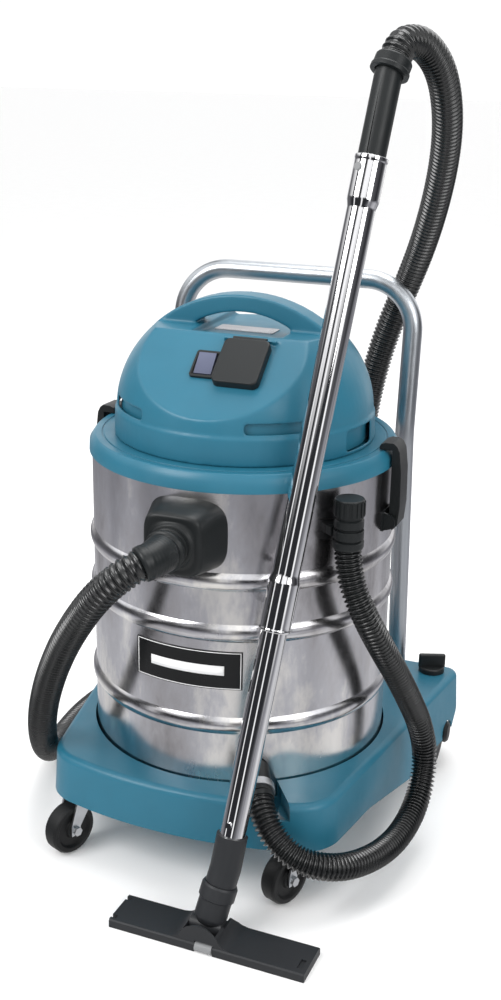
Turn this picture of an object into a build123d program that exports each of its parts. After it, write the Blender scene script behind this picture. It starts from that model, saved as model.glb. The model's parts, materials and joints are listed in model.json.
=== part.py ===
# Shop vacuum: steel drum on a wheeled base, powered head, push handle, hoses, wand and floor tool.
# Millimetres, +Z up. Origin on the floor under the drum's axis, front towards -Y.
from build123d import *
from math import sin, cos, radians
import os

os.makedirs("parts", exist_ok=True)

# ---- driving dimensions ----
drum_r = 220.0
drum_wall = 1.4
drum_bottom = 108.0
drum_top = 588.0
rib_levels = (240.0, 379.0, 453.0)
rib_half = 13.0
rib_depth = 5.0

deck_z = 154.0
deck_wall = 4.0
base_draft = 3.5
well_r = 223.0

lid_r = 224.0
lid_bottom = 578.0
lid_top = 603.0
lid_bore = 150.0
skirt_r = 187.5
dome_mid = 640.0
dome_a = 184.0
dome_b = 161.0
shell = 3.0
platform_z = 755.0
recess_z = 746.0
facet_y = -66.0
arch_half = 19.0

handle_r = 14.5
handle_wall = 1.5
handle_x = 189.0
handle_top = 796.0

castor_x = 167.0
castor_y = -209.0
castor_trail = 28.0
castor_wheel_r = 37.5
castor_wheel_w = 25.0
rear_wheel_r = 62.0
rear_wheel_w = 36.0
rear_wheel_x = 257.0
rear_wheel_y = 211.0
axle_r = 8.0

suction_hose_r = 21.0
drain_hose_r = 18.0
inlet_z = 517.0

latch_angles = {"right": 88.0, "left": -95.0}
latch_pin_r = 2.5
latch_pivot = (232.0, 502.0)

# wand axis, measured upwards from the top of the floor tool's sleeve
wand_foot = Vector(108.0, -318.7, 140.0)
wand_dir = Vector(0.0926, 0.2677, 0.9591).normalized()
wand_side = Vector(wand_dir.Z, 0, -wand_dir.X).normalized()
tool_bend = wand_foot + wand_dir * -42.0
tool_pivot = Vector(89.0, -355.0, 22.0)
neck_dir = (tool_bend - tool_pivot).normalized()
tool_turn = -2.5


# ---- helpers ----
def spot(radius, angle, height):
    """Point at an angle measured from the front, turning towards +X."""
    return (radius * sin(radians(angle)), -radius * cos(radians(angle)), height)


def side_plane(radius, angle, height):
    """Plane facing outward from the drum axis, its y axis up."""
    a = radians(angle)
    return Plane(origin=spot(radius, angle, height), x_dir=(cos(a), sin(a), 0), z_dir=(sin(a), -cos(a), 0))


def radial_plane(angle, shift=0.0):
    """Plane holding the drum axis, its x axis outward and its y axis up."""
    a = radians(angle)
    start = Vector(cos(a), sin(a), 0) * shift
    return Plane(origin=start, x_dir=(sin(a), -cos(a), 0), z_dir=(-cos(a), -sin(a), 0))


def sector(r0, r1, z0, z1, start, sweep_angle):
    """Part of a ring about the drum axis."""
    with BuildPart(mode=Mode.PRIVATE) as block:
        with BuildSketch(radial_plane(start)):
            with Locations(((r0 + r1) / 2, (z0 + z1) / 2)):
                Rectangle(r1 - r0, z1 - z0)
        revolve(axis=Axis.Z, revolution_arc=sweep_angle)
    return block.part


def rod(start, end, radius):
    """Round bar between two points."""
    start = Vector(*start)
    run = Vector(*end) - start
    with BuildPart(mode=Mode.PRIVATE) as bar:
        with BuildSketch(Plane(origin=start, z_dir=run.normalized())):
            Circle(radius)
        extrude(amount=run.length)
    return bar.part


def turned(points, origin, axis, side):
    """Solid of revolution from (radius, distance along the axis) points."""
    with BuildPart(mode=Mode.PRIVATE) as solid:
        with BuildSketch(Plane(origin=origin, x_dir=side, z_dir=side.cross(axis))):
            with BuildLine():
                Polyline(*points, close=True)
            make_face()
        revolve(axis=Axis(origin, axis))
    return solid.part


def corner_radii(points):
    """Arc radius at each inner corner of a hose route."""
    route = [Vector(*p) for p in points]
    radii = []
    for before, corner, after in zip(route, route[1:], route[2:]):
        back = before - corner
        ahead = after - corner
        half_turn = radians(180 - back.get_angle(ahead)) / 2
        radii.append(0.45 * min(back.length, ahead.length) * cos(half_turn) / sin(half_turn))
    return radii


def hose_tube(points, radius):
    """Solid tube along straight runs joined by tangent arcs."""
    radii = corner_radii(points)
    with BuildPart(mode=Mode.PRIVATE) as tube:
        with BuildLine() as route:
            FilletPolyline(*points, radius=radii)
        with BuildSketch(Plane(origin=points[0], z_dir=Vector(*points[1]) - Vector(*points[0]))):
            Circle(radius)
        sweep(path=route.wire())
    print("route length", round(route.wire().length), "radii", [round(r) for r in radii])
    print("volume ratio", round(tube.part.volume / (3.14159265 * radius**2 * route.wire().length), 4))
    return tube.part


parts = {}


def keep(name, solid):
    """Label a finished sub-part and store it."""
    solid.label = name
    parts[name] = solid


# ---- base: one hollow moulding with a drum well, a drain notch and rear wheel brackets ----
base_plan = [(-209, -226), (0, -263), (209, -226), (293, 270), (-293, 270)]


def plan_solid(inset, top, bottom):
    """Drafted outline of the base between two heights."""
    with BuildPart(mode=Mode.PRIVATE) as block:
        with BuildSketch(Plane.XY.offset(top)) as plan:
            with BuildLine():
                ThreePointArc(base_plan[0], base_plan[1], base_plan[2])
                Polyline(base_plan[2], base_plan[3], base_plan[4], base_plan[0])
            make_face()
            front = plan.vertices().group_by(Axis.Y)[0]
            fillet(front, radius=62)
            rear = plan.vertices().group_by(Axis.Y)[-1]
            fillet(rear, radius=18)
            if inset:
                offset(amount=-inset, mode=Mode.REPLACE)
        extrude(amount=-(top - bottom), taper=-base_draft)
    return block.part


leg_foot = Vector(handle_x, 250, 106)
leg_knee = Vector(handle_x, 205, 565)
leg_dir = (leg_knee - leg_foot).normalized()


def mirrored(point):
    return Vector(-point.X, point.Y, point.Z)


outer_block = plan_solid(0, deck_z, 40)
cavity = plan_solid(deck_wall, deck_z - deck_wall, 38)
with BuildPart() as hollow:
    add(cavity)
    with Locations((castor_x, castor_y, 100), (-castor_x, castor_y, 100)):
        Cylinder(30, 60, align=(Align.CENTER, Align.CENTER, Align.MIN), mode=Mode.SUBTRACT)
    with Locations((0, 0, 104)):
        Cylinder(well_r + 3.5, 60, align=(Align.CENTER, Align.CENTER, Align.MIN), mode=Mode.SUBTRACT)
    with Locations((222, rear_wheel_y, 46), (-222, rear_wheel_y, 46)):
        Box(8, 40, 114, align=(Align.CENTER, Align.CENTER, Align.MIN), mode=Mode.SUBTRACT)
    add(rod(leg_foot - leg_dir * 4, leg_foot + leg_dir * 50, 20), mode=Mode.SUBTRACT)
    add(rod(mirrored(leg_foot - leg_dir * 4), mirrored(leg_foot + leg_dir * 50), 20), mode=Mode.SUBTRACT)

with BuildPart() as base:
    add(outer_block)
    rim = base.faces().sort_by(Axis.Z)[-1].edges()
    fillet(rim, radius=11)
    add(hollow.part, mode=Mode.SUBTRACT)
    with BuildSketch(Plane.YZ):
        with BuildLine():
            Polyline((-320, 30), (-320, 87), (-90, 80), (60, 53), (95, 46), (150, 56), (226, 56), (262, 98),
                     (300, 108), (300, 30), close=True)
        make_face()
    extrude(amount=330, both=True, mode=Mode.SUBTRACT)
    with Locations((222, rear_wheel_y, 71), (-222, rear_wheel_y, 71)):
        Box(8, 40, 42, align=(Align.CENTER, Align.CENTER, Align.CENTER))
    with Locations((0, 0, drum_bottom)):
        Cylinder(well_r, 80, align=(Align.CENTER, Align.CENTER, Align.MIN), mode=Mode.SUBTRACT)
    add(sector(216, 330, 130, 190, 19, 15), mode=Mode.SUBTRACT)
    with Locations((0, rear_wheel_y, rear_wheel_r)):
        Cylinder(axle_r, 600, rotation=(0, 90, 0), mode=Mode.SUBTRACT)
    for x in (-1, 1):
        low = Vector(x * leg_foot.X, leg_foot.Y, leg_foot.Z)
        high = Vector(x * leg_knee.X, leg_knee.Y, leg_knee.Z)
        add(rod(low, high, handle_r), mode=Mode.SUBTRACT)
        with Locations(Location((x * rear_wheel_x, rear_wheel_y, rear_wheel_r), (0, 90, 0))):
            Cylinder(rear_wheel_r + 2.5, 40, mode=Mode.SUBTRACT)
        with Locations(Location((x * 290, rear_wheel_y, rear_wheel_r), (0, 90, 0))):
            Cylinder(20, 40, mode=Mode.SUBTRACT)
    with Locations((250, 240, 140), (-250, 240, 140)):
        Cylinder(4.5, 30, mode=Mode.SUBTRACT)
keep("base", base.part)

# ---- push handle ----
handle_route = [leg_foot, leg_knee, Vector(handle_x, 228, handle_top)]
handle_route += [Vector(-p.X, p.Y, p.Z) for p in reversed(handle_route)]
with BuildPart() as push_handle:
    with BuildLine() as bend:
        FilletPolyline(*handle_route, radius=[160, 75, 75, 160])
    with BuildSketch(Plane(origin=handle_route[0], z_dir=leg_dir)):
        Circle(handle_r)
        Circle(handle_r - handle_wall, mode=Mode.SUBTRACT)
    sweep(path=bend.wire())
keep("push_handle", push_handle.part)

# ---- rear axle, wheels and hub caps ----
with BuildPart() as rear_axle:
    with Locations((0, rear_wheel_y, rear_wheel_r)):
        Cylinder(axle_r, 562, rotation=(0, 90, 0))
keep("rear_axle", rear_axle.part)


def rear_wheel_parts(side, tag):
    """Tyre and hub cap for one rear wheel."""
    middle = (side * rear_wheel_x, rear_wheel_y, rear_wheel_r)
    with BuildPart() as wheel:
        with Locations(Location(middle, (0, 90, 0))):
            Cylinder(rear_wheel_r, rear_wheel_w)
        fillet(wheel.edges().filter_by(GeomType.CIRCLE), radius=6)
        with Locations(Location((middle[0] - side * 18, middle[1], middle[2]), (0, 90, 0))):
            Cylinder(40, 12, mode=Mode.SUBTRACT)
        with Locations(Location(middle, (0, 90, 0))):
            Cylinder(axle_r + 0.08, 60, mode=Mode.SUBTRACT)
    keep("rear_wheel_" + tag, wheel.part)
    face_x = rear_wheel_x + rear_wheel_w / 2
    profile = [(0, 0), (34, 0), (34, 0.8), (17.5, 2), (17.5, 13), (14, 16.5), (0, 17.5)]
    cap = turned(profile, Vector(side * face_x, rear_wheel_y, rear_wheel_r), Vector(side, 0, 0), Vector(0, 1, 0))
    with BuildPart() as hub_cap:
        add(cap)
        with Locations(Location((side * (face_x + 3), rear_wheel_y, rear_wheel_r), (0, 90, 0))):
            Cylinder(axle_r + 0.5, 8, mode=Mode.SUBTRACT)
    keep("hub_cap_" + tag, hub_cap.part)


rear_wheel_parts(1, "right")
rear_wheel_parts(-1, "left")

# ---- castors ----
trail_dir = Vector(-0.4, -0.9165, 0).normalized()
castor_axle_dir = Vector(0, 0, 1).cross(trail_dir)


def castor_parts(side, tag):
    """Mount plate, swivelling fork with its bolt, and wheel."""
    top = Vector(side * castor_x, castor_y, 0)
    hub = top + trail_dir * castor_trail + Vector(0, 0, castor_wheel_r)
    frame_plane = Plane(origin=top, x_dir=trail_dir, z_dir=(0, 0, 1))
    with BuildPart() as plate:
        with BuildSketch(frame_plane.offset(96)):
            RectangleRounded(42, 38, 6)
        extrude(amount=4)
    keep("castor_plate_" + tag, plate.part)
    with BuildPart() as fork:
        with BuildSketch(frame_plane.offset(84)):
            with Locations((4, 0)):
                RectangleRounded(40, 32.4, 5)
        extrude(amount=4)
        with BuildSketch(frame_plane.offset(88)):
            Circle(17)
        extrude(amount=7.6)
        for reach in (-13.2, 16.2):
            leg_plane = Plane(origin=top + castor_axle_dir * reach, x_dir=trail_dir, z_dir=-castor_axle_dir)
            with BuildSketch(leg_plane):
                with BuildLine():
                    Polyline((-12, 88), (22, 88), (36, 46), (36, 30), (20, 30), (20, 42), close=True)
                make_face()
            extrude(amount=3)
        add(rod(hub - castor_axle_dir * 20, hub + castor_axle_dir * 20, 4))
        with BuildSketch(Plane(origin=hub + castor_axle_dir * 16, x_dir=trail_dir, z_dir=castor_axle_dir)):
            RegularPolygon(7, 6)
        extrude(amount=5.5)
        with BuildSketch(Plane(origin=hub - castor_axle_dir * 16, x_dir=trail_dir, z_dir=-castor_axle_dir)):
            RegularPolygon(7, 6)
        extrude(amount=5.5)
    keep("castor_fork_" + tag, fork.part)
    half = castor_wheel_w / 2
    profile = [(4.05, -half), (12, -half), (14, -half + 4), (26, -half + 4), (29, -half), (35, -half),
               (castor_wheel_r, -half + 4), (castor_wheel_r, half - 4), (35, half), (29, half),
               (26, half - 4), (14, half - 4), (12, half), (4.05, half)]
    keep("castor_wheel_" + tag, turned(profile, hub, castor_axle_dir, Vector(0, 0, 1)))


castor_parts(1, "right")
castor_parts(-1, "left")


# ---- clamp knobs on the base's rear corners ----
def knob(side, tag):
    with BuildPart() as wing:
        with Locations((side * 250, 240, deck_z + 0.4)):
            Cylinder(21, 9, align=(Align.CENTER, Align.CENTER, Align.MIN))
            Cylinder(4, 18, align=(Align.CENTER, Align.CENTER, Align.MAX))
        fillet(wing.edges().filter_by(GeomType.CIRCLE).group_by(Axis.Z)[-1], radius=3)
        with BuildSketch(Plane(origin=(side * 250, 240, deck_z + 8), x_dir=(0.94, 0.34, 0), z_dir=(0, 0, 1))):
            RectangleRounded(44, 9, 4)
        extrude(amount=22)
        fillet(wing.faces().sort_by(Axis.Z)[-1].edges(), radius=3)
    keep("clamp_knob_" + tag, wing.part)


knob(1, "right")
knob(-1, "left")


# ---- drum ----
def drum_wall_line(radius):
    """Side of the drum from bottom to top, bulging at each swaged rib."""
    edge = []
    level = drum_bottom
    for rib in rib_levels:
        edge.append(Line((radius, level), (radius, rib - rib_half)))
        edge.append(ThreePointArc((radius, rib - rib_half), (radius + rib_depth, rib), (radius, rib + rib_half)))
        level = rib + rib_half
    edge.append(Line((radius, level), (radius, drum_top)))
    return edge


with BuildPart() as drum:
    with BuildSketch(Plane.XZ):
        with BuildLine():
            drum_wall_line(drum_r)
            Line((drum_r, drum_top), (0, drum_top))
            Line((0, drum_top), (0, drum_bottom))
            Line((0, drum_bottom), (drum_r, drum_bottom))
        make_face()
    revolve(axis=Axis.Z)
    with BuildSketch(Plane.XZ):
        with BuildLine():
            drum_wall_line(drum_r - drum_wall)
            Line((drum_r - drum_wall, drum_top), (0, drum_top))
            Line((0, drum_top), (0, drum_bottom))
            Line((0, drum_bottom), (drum_r - drum_wall, drum_bottom))
        make_face()
    revolve(axis=Axis.Z, mode=Mode.SUBTRACT)
    with Locations((0, 0, drum_bottom)):
        Cylinder(drum_r - 0.5, 1.6, align=(Align.CENTER, Align.CENTER, Align.MIN))
keep("drum", drum.part)

keep("badge", sector(drum_r, drum_r + 1.4, 296, 352, -20.6, 41.4))

# ---- inlet housing and cuff ----
with BuildPart() as inlet_housing:
    with BuildSketch(Plane.XZ.offset(205)):
        with Locations((0, inlet_z)):
            RectangleRounded(106, 98, 22)
    with BuildSketch(Plane.XZ.offset(236)):
        with Locations((0, inlet_z)):
            RectangleRounded(99, 91, 22)
    loft()
    with BuildSketch(Plane.XZ.offset(236)):
        with Locations((0, inlet_z)):
            RectangleRounded(99, 91, 22)
    with BuildSketch(Plane.XZ.offset(268)):
        with Locations((0, inlet_z)):
            RectangleRounded(70, 68, 22)
    loft()
    with BuildSketch(Plane.XZ.offset(268)):
        with Locations((0, inlet_z)):
            Circle(31)
    extrude(amount=7)
    with Locations((0, 0, inlet_z)):
        Cylinder(drum_r, 140, mode=Mode.SUBTRACT)
keep("inlet_housing", inlet_housing.part)

cuff_profile = [(0, 275), (27, 275), (27, 280), (25, 281), (25, 288), (0, 288)]
keep("inlet_cuff", turned(cuff_profile, Vector(0, 0, inlet_z), Vector(0, -1, 0), Vector(1, 0, 0)))

# ---- suction hose: from the inlet round the back of the base and up to the wand ----
suction_route = [(0, -288, 517), (0, -318, 517), (-20, -346, 511), (-62, -356, 474), (-112, -338, 406),
                 (-158, -302, 332), (-202, -254, 250), (-242, -194, 164), (-280, -114, 80), (-318, -16, 27),
                 (-337, 130, 22), (-310, 262, 22), (-222, 370, 22), (-96, 418, 26), (18, 392, 76),
                 (74, 346, 176), (94, 312, 300), (98, 288, 430), (102, 276, 540), (116, 274, 630),
                 (135, 277, 708), (163, 274, 782), (191, 248, 850), (219, 196, 926), (239, 142, 996),
                 (248, 92, 1054), (245, 48, 1104), (229.5, 8, 1134), (215, -21, 1136),
               (208, -35, 1127.9), (205, -41.5, 1115.8)]
keep("suction_hose", hose_tube(suction_route, suction_hose_r))

# ---- drain: outlet stub, steel clamp ring, cuff, hose and its parked connector ----
drain_end = Vector(121, -246, 156)
drain_dir = Vector(10, -16, -10).normalized()
stub_top = Vector(96, -196, 172)
stub_dir = (drain_end - stub_top).normalized()
with BuildPart() as drain_stub:
    add(rod(stub_top, drain_end - stub_dir * 10, 19))
    with Locations((0, 0, 160)):
        Cylinder(drum_r, 120, mode=Mode.SUBTRACT)
keep("drain_stub", drain_stub.part)

ring_profile = [(19, -24), (22.5, -24), (22.5, -12), (19, -12)]
with BuildPart() as drain_clamp:
    add(turned(ring_profile, drain_end, stub_dir, Vector(0, 0, 1).cross(stub_dir).normalized()))
    with Locations(drain_end - stub_dir * 18 + Vector(-6, -3, 22)):
        Box(9, 9, 8)
    add(rod(stub_top, drain_end, 19), mode=Mode.SUBTRACT)
keep("drain_clamp", drain_clamp.part)

drain_route = [(121, -246, 156), (131, -262, 146), (152, -278, 124), (192, -284, 99), (238, -258, 84),
               (270, -190, 66), (288, -110, 56), (296, -34, 72), (296, 6, 128), (286, -10, 190),
               (276, -45, 242), (265, -88, 300), (250, -128, 356), (230, -154, 412), (206, -148, 458),
               (201, -145, 498.5)]
keep("drain_hose", hose_tube(drain_route, drain_hose_r))

with BuildPart() as drain_cuff:
    add(rod(drain_end - stub_dir * 10, drain_end - stub_dir * 5.5, 20))
    add(rod(drain_end - drain_dir * 7, drain_end - drain_dir * 0.1, 20))
    add(rod(stub_top, drain_end - stub_dir * 10, 22), mode=Mode.SUBTRACT)
keep("drain_cuff", drain_cuff.part)

connector_x = 201.0
connector_y = -145.0
connector_profile = [(0, 501.2), (20, 501.2), (21, 504), (21, 511), (17.5, 513), (17.5, 529), (20, 531),
                     (20, 541), (17, 543), (17, 545.6), (0, 545.6)]
up = Vector(0, 0, 1)
connector_axis = Vector(connector_x, connector_y, 0)
keep("drain_connector", turned(connector_profile, connector_axis, up, Vector(1, 0, 0)))

with BuildPart() as drain_cap:
    with Locations((connector_x, connector_y, 546)):
        Cylinder(20, 24, align=(Align.CENTER, Align.CENTER, Align.MIN))
    fillet(drain_cap.edges().group_by(Axis.Z)[-1], radius=2)
    with Locations((connector_x, connector_y, 548)):
        with PolarLocations(19.4, 18):
            Box(3.6, 3.4, 19, align=(Align.CENTER, Align.CENTER, Align.MIN))
keep("drain_cap", drain_cap.part)

with BuildPart() as drain_clip:
    with Locations((connector_x, connector_y, 515)):
        Cylinder(20.5, 12, align=(Align.CENTER, Align.CENTER, Align.MIN))
    add(sector(219, 232, 515, 527, 50, 9))
    with Locations((connector_x, connector_y, 510)):
        Cylinder(17.5, 24, align=(Align.CENTER, Align.CENTER, Align.MIN), mode=Mode.SUBTRACT)
    with Locations((0, 0, 520)):
        Cylinder(drum_r, 60, mode=Mode.SUBTRACT)
keep("drain_clip", drain_clip.part)


# ---- side latches ----
def latch_parts(tag):
    """Bracket with its pin on the drum, and the over-rim latch."""
    angle = latch_angles[tag]
    pin_r, pin_z = latch_pivot
    with BuildPart() as bracket:
        with BuildSketch(side_plane(drum_r - 4, angle, pin_z)):
            RectangleRounded(52, 30, 4)
        extrude(amount=4.5)
        for shift in (-23.6, 19.6):
            with BuildSketch(radial_plane(angle, shift + 4)):
                with BuildLine():
                    Polyline((218, 488), (231, 492), (237, 497), (237, 508), (231, 512), (218, 516), close=True)
                make_face()
            extrude(amount=4)
        a = radians(angle)
        tangent = Vector(cos(a), sin(a), 0)
        pin_at = Vector(*spot(pin_r, angle, pin_z))
        add(rod(pin_at - tangent * 22, pin_at + tangent * 22, latch_pin_r))
        with Locations((0, 0, pin_z)):
            Cylinder(drum_r, 80, mode=Mode.SUBTRACT)
    keep("latch_bracket_" + tag, bracket.part)
    with BuildPart() as latch:
        with BuildSketch(radial_plane(angle, 18)):
            with BuildLine():
                Polyline((227, 500), (228.5, 493), (232, 489), (239, 497), (241.5, 525), (240.5, 575),
                         (237, 603), (233, 611), (228, 615), (216, 615), (210, 612.5), (208, 609),
                         (208, 604.4), (226.5, 604.4), (226.5, 512), close=True)
            make_face()
        extrude(amount=36)
        add(rod(pin_at - tangent * 30, pin_at + tangent * 30, latch_pin_r + 0.06), mode=Mode.SUBTRACT)
    keep("latch_" + tag, latch.part)


latch_parts("right")
latch_parts("left")

# ---- lid ring and seal ----
lid_profile = [(lid_bore, 599), (208, 599), (208, 582), (212, 582), (212, 592), (220.6, 592),
               (220.6, lid_bottom), (lid_r, lid_bottom), (223.4, 592), (217.6, 601), (215.5, lid_top), (206, lid_top),
               (206, 601.4), (203, 601.4), (203, lid_top), (lid_bore, lid_top)]
origin = Vector(0, 0, 0)
keep("lid_ring", turned(lid_profile, origin, up, Vector(1, 0, 0)))
keep("lid_seal", turned([(213, 588), (220.4, 588), (220.4, 592), (213, 592)], origin, up, Vector(1, 0, 0)))


# ---- dome ----
def dome_block(inset, top):
    """Dome outline with its sloping front facet, closed at the given height."""
    with BuildPart(mode=Mode.PRIVATE) as block:
        with BuildSketch(Plane.XZ):
            with BuildLine():
                Line((0, lid_top), (skirt_r - inset, lid_top))
                Line((skirt_r - inset, lid_top), (skirt_r - inset - 1, 641))
                Line((skirt_r - inset - 1, 641), (dome_a - inset, 642))
                Spline((dome_a - inset, 642), *[ellipse_point(inset, t) for t in range(15, 90, 15)],
                       (0, dome_mid + dome_b - inset), tangents=((0, 1), (-1, 0)))
                Line((0, dome_mid + dome_b - inset), (0, lid_top))
            make_face()
        revolve(axis=Axis.Z)
        with Locations((0, 0, top)):
            Box(400, 400, 100, align=(Align.CENTER, Align.CENTER, Align.MIN), mode=Mode.SUBTRACT)
        with BuildSketch(facet_plane(0, facet_y).offset(-inset)):
            Rectangle(400, 400, align=(Align.CENTER, Align.MAX))
        extrude(amount=150, mode=Mode.SUBTRACT)
    return block.part


def ellipse_point(inset, degrees_up):
    t = radians(degrees_up)
    return ((dome_a - inset) * cos(t), dome_mid + (dome_b - inset) * sin(t))


def facet_plane(x, y):
    """Plane on the front facet at a given x and y."""
    height = 668 + 0.8 * (y + 175)
    return Plane(origin=(x, y, height), x_dir=(1, 0, 0), z_dir=(0, -0.8, 1))


socket_plane = facet_plane(34, -106)
hinge_at = socket_plane.origin + socket_plane.y_dir * 40 + socket_plane.z_dir * 5.5
inner_dome = dome_block(shell, platform_z - shell)
with BuildPart() as arch:
    with BuildSketch(Plane.XZ.offset(-arch_half)):
        with BuildLine():
            Polyline((-150, 700), *[(-x, z) for x, z in map(lambda t: ellipse_point(0, t), range(40, 90, 5))],
                     (0, dome_mid + dome_b), *[ellipse_point(0, t) for t in range(85, 35, -5)], (150, 700),
                     close=True)
        make_face()
    extrude(amount=2 * arch_half)
    with BuildSketch(Plane.XZ.offset(-arch_half - 1)):
        with BuildLine():
            ThreePointArc((-96, 740), (0, 777), (96, 740))
            Line((96, 740), (96, 690))
            Line((96, 690), (-96, 690))
            Line((-96, 690), (-96, 740))
        make_face()
    extrude(amount=2 * arch_half + 2, mode=Mode.SUBTRACT)
    with Locations((0, 0, 750)):
        Box(400, 100, 100, align=(Align.CENTER, Align.CENTER, Align.MAX), mode=Mode.SUBTRACT)

with BuildPart() as dome:
    add(dome_block(0, platform_z))
    add(arch.part)
    with Locations((5, facet_y + 8, recess_z)):
        Box(130, 240, 9.2, align=(Align.CENTER, Align.MIN, Align.MIN), mode=Mode.SUBTRACT)
    with BuildPart(mode=Mode.PRIVATE) as core:
        add(inner_dome)
        with Locations((5, facet_y + 4, recess_z - shell)):
            Box(138, 250, 30, align=(Align.CENTER, Align.MIN, Align.MIN), mode=Mode.SUBTRACT)
    add(core.part, mode=Mode.SUBTRACT)
    for start, width in ((20, 29), (-59, 29), (131, 29), (-160, 29)):
        add(sector(170, 196, 647, 660, start, width), mode=Mode.SUBTRACT)
    for start in (68, -90):
        add(sector(178, 196, 609, 636, start, 22), mode=Mode.SUBTRACT)
    with BuildSketch(facet_plane(-17.2, -111).offset(-5)):
        Rectangle(29.4, 38)
    extrude(amount=12, mode=Mode.SUBTRACT)
    with BuildSketch(facet_plane(34, -106).offset(-5)):
        Rectangle(50, 56)
    extrude(amount=12, mode=Mode.SUBTRACT)
    with BuildSketch(socket_plane.offset(-2)):
        with Locations((-36, 40), (36, 40)):
            Rectangle(4.5, 5)
    extrude(amount=9.5)
    add(rod(hinge_at - Vector(36, 0, 0), hinge_at + Vector(36, 0, 0), 1.5))
keep("dome", dome.part)

# ---- rocker switch with its surround ----
switch_plane = facet_plane(-17.2, -111)
switch_axis = switch_plane.origin - switch_plane.z_dir * 2
with BuildPart() as switch_surround:
    with BuildSketch(switch_plane):
        RectangleRounded(35, 45, 4)
        Rectangle(29.4, 38, mode=Mode.SUBTRACT)
    extrude(amount=4)
    with BuildSketch(switch_plane.offset(-18)):
        Rectangle(29.4, 38)
        Rectangle(26.4, 35, mode=Mode.SUBTRACT)
    extrude(amount=18)
    with BuildSketch(switch_plane.offset(-20)):
        Rectangle(29.4, 38)
    extrude(amount=2)
    with BuildSketch(switch_plane):
        Rectangle(29.4, 38)
        Rectangle(26.4, 35, mode=Mode.SUBTRACT)
    extrude(amount=2)
    add(rod(switch_axis - Vector(14.2, 0, 0), switch_axis + Vector(14.2, 0, 0), 1.56), mode=Mode.SUBTRACT)
keep("switch_surround", switch_surround.part)

with BuildPart() as rocker:
    with BuildSketch(Plane(origin=switch_plane.origin, x_dir=switch_plane.y_dir, z_dir=switch_plane.x_dir).offset(-12.4)):
        with BuildLine():
            Polyline((-16.2, -4), (-16.2, 2.4), (0, 4.6), (16.2, 7.4), (16.2, -1), (4, -9), (-4, -9), close=True)
        make_face()
    extrude(amount=24.8)
    add(rod(switch_axis - Vector(13.9, 0, 0), switch_axis + Vector(13.9, 0, 0), 1.5))
keep("rocker_switch", rocker.part)

# ---- power socket and its spring cover ----
with BuildPart() as socket_insert:
    with BuildSketch(socket_plane.offset(-16)):
        Rectangle(50, 56)
    extrude(amount=16)
    with BuildSketch(socket_plane):
        with Locations((0, -1)):
            RectangleRounded(54, 60, 5)
    extrude(amount=3.4)
    with BuildSketch(socket_plane.offset(3.4)):
        with Locations((-11, -8), (11, -8)):
            Rectangle(6.5, 3.4)
        with Locations((0, 12)):
            Rectangle(3.6, 7.5)
    extrude(amount=-2, mode=Mode.SUBTRACT)
keep("socket_insert", socket_insert.part)

with BuildPart() as socket_cover:
    with BuildSketch(socket_plane.offset(0.5)):
        with Locations((0, -2)):
            RectangleRounded(65.6, 76, 9)
    extrude(amount=12)
    fillet(socket_cover.faces().sort_by(Axis(socket_plane.origin, socket_plane.z_dir))[-1].edges(), radius=2.5)
    with BuildSketch(socket_plane.offset(-1)):
        with Locations((0, -2)):
            RectangleRounded(59, 67, 7)
    extrude(amount=10, mode=Mode.SUBTRACT)
    with BuildSketch(socket_plane.offset(3.4)):
        with Locations((0, 37)):
            Rectangle(46, 7)
    extrude(amount=5.4)
    with BuildSketch(Plane(origin=hinge_at - Vector(24, 0, 0), z_dir=(1, 0, 0))):
        Circle(3.4)
    extrude(amount=48)
    with BuildSketch(Plane(origin=hinge_at - Vector(32, 0, 0), z_dir=(1, 0, 0))):
        Circle(1.56)
    extrude(amount=64, mode=Mode.SUBTRACT)
keep("socket_cover", socket_cover.part)

# ---- rating plate and cable gland ----
with BuildPart() as rating_plate:
    with BuildSketch(Plane.XY.offset(recess_z)):
        with Locations((-5, 16)):
            RectangleRounded(88, 34, 3)
    extrude(amount=1.2)
keep("rating_plate", rating_plate.part)

gland_profile = [(4, 183), (16, 183), (16, 190), (12, 192), (8, 214), (4, 214)]
with BuildPart() as cable_gland:
    add(turned(gland_profile, Vector(0, 0, 624), Vector(0, 1, 0), Vector(1, 0, 0)))
    with Locations((0, 0, 624)):
        Cylinder(skirt_r, 60, mode=Mode.SUBTRACT)
keep("cable_gland", cable_gland.part)

# ---- motors, motor plate, filter, cage and float ----
with BuildPart() as motor_plate:
    with Locations((0, 0, 594)):
        Cylinder(lid_bore, 6, align=(Align.CENTER, Align.CENTER, Align.MIN))
keep("motor_plate", motor_plate.part)


def motor(side, tag):
    """Motor housing with a spinning fan inside."""
    middle = Vector(side * 66, 22, 0)
    case = [(60, 600), (60, 660), (46, 690), (0, 690), (0, 686), (44, 686), (56, 658), (56, 600)]
    keep("motor_housing_" + tag, turned(case, middle, up, Vector(1, 0, 0)))
    wheel = [(0, 603), (50, 603), (50, 606), (10, 610), (5, 612), (5, 680), (0, 680)]
    with BuildPart() as fan:
        add(turned(wheel, middle, up, Vector(1, 0, 0)))
        with Locations(middle + Vector(0, 0, 605)):
            with PolarLocations(30, 9):
                Box(34, 1.6, 14, align=(Align.CENTER, Align.CENTER, Align.MIN))
    keep("motor_fan_" + tag, fan.part)


motor(1, "right")
motor(-1, "left")

cage_profile = [(78, 594), (78, 468), (0, 468), (0, 465), (81, 465), (81, 594)]
with BuildPart() as filter_cage:
    add(turned(cage_profile, origin, up, Vector(1, 0, 0)))
    for level in (480, 512):
        with Locations((0, 0, level)):
            with PolarLocations(80, 12):
                Box(20, 16, 22, align=(Align.CENTER, Align.CENTER, Align.MIN), mode=Mode.SUBTRACT)
keep("filter_cage", filter_cage.part)

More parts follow.
